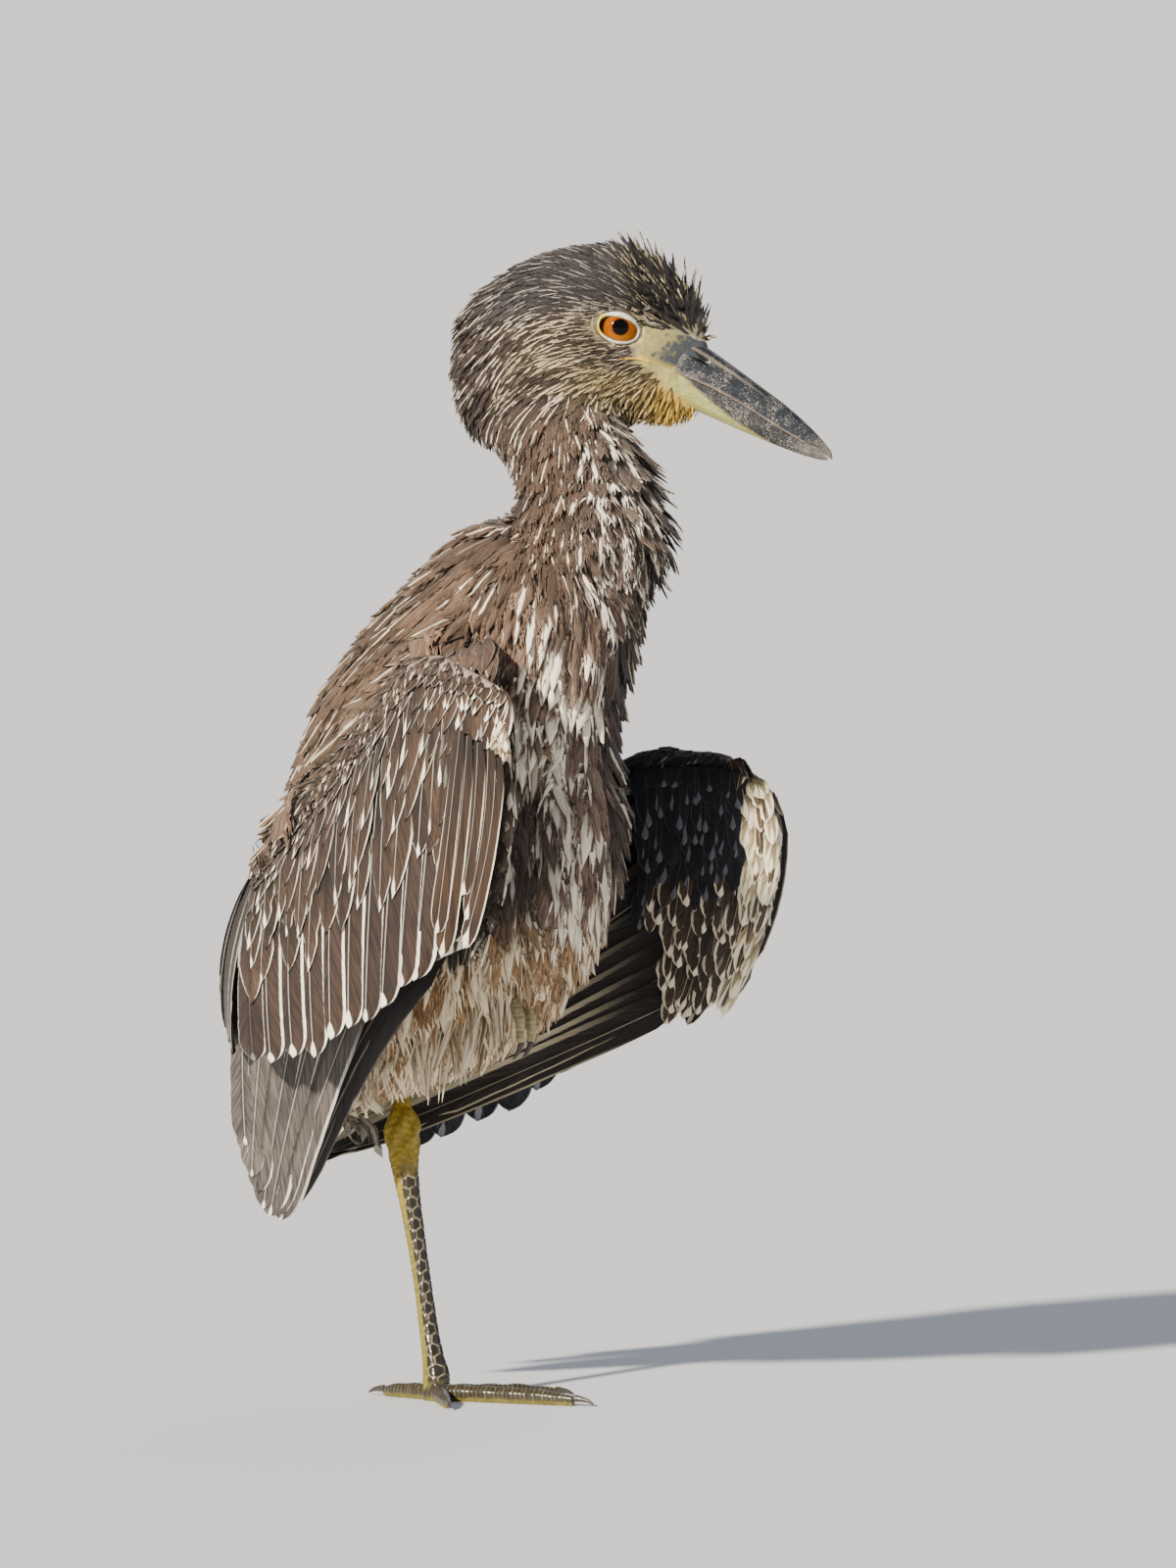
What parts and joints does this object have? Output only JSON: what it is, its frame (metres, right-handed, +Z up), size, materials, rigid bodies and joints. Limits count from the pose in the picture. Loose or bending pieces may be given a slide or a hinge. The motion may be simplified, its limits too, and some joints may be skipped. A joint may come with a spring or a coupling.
{
  "type": "yellow-crowned night heron",
  "caption": "Still life-size young night heron standing on one leg, wings drooped and half open, head turned to its left.",
  "frame": {"origin": "middle of the standing foot's sole, on the floor", "axes": "+X the way the body faces, +Y its left side, +Z up"},
  "size_m": [0.2207, 0.2405, 0.4562],
  "materials": {
    "crown_feather": "soft matt head feathers, slate with pale streaks",
    "body_feather": "soft matt feathers, brown with cream streaks",
    "wing_feather": "smooth vanes, grey-brown with white spots at the tips",
    "flight_feather": "firm smooth vanes, slate grey with pale edges",
    "wing_edge": "soft cream feathers with brown drops",
    "bill_horn": "dark horn, semi-gloss, yellowish at the base",
    "eye": "wet gloss, orange iris and black pupil",
    "leg_skin": "scaly skin, olive-yellow behind and dark scutes in front",
    "claw_horn": "dark horn"
  },
  "bodies": {
    "root": {"bill_lower": "bill_horn", "bill_upper": "bill_horn", "claw_left_hind": "claw_horn", "claw_left_inner": "claw_horn", "claw_left_middle": "claw_horn", "claw_left_outer": "claw_horn", "claw_right_inner": "claw_horn", "claw_right_middle": "claw_horn", "eye_left": "eye", "eye_right": "eye", "foot_left_pad": "leg_skin", "head": "crown_feather", "neck": "body_feather", "shank_left": "leg_skin", "tail": "flight_feather", "tarsus_left": "leg_skin", "thigh_left": "body_feather", "toe_left_hind": "leg_skin", "toe_left_inner": "leg_skin", "toe_left_middle": "leg_skin", "toe_left_outer": "leg_skin", "toe_right_inner": "leg_skin", "toe_right_middle": "leg_skin", "trunk": "body_feather", "wing_left_alula": "wing_feather", "wing_left_forearm": "wing_feather", "wing_left_hand": "wing_edge", "wing_left_primaries": "flight_feather", "wing_left_secondaries": "wing_feather", "wing_left_tertials": "wing_feather", "wing_left_upper_arm": "body_feather", "wing_right_alula": "wing_feather", "wing_right_forearm": "wing_feather", "wing_right_hand": "wing_edge", "wing_right_primaries": "flight_feather", "wing_right_secondaries": "wing_feather", "wing_right_tertials": "wing_feather", "wing_right_upper_arm": "body_feather"}
  },
  "joints": []
}
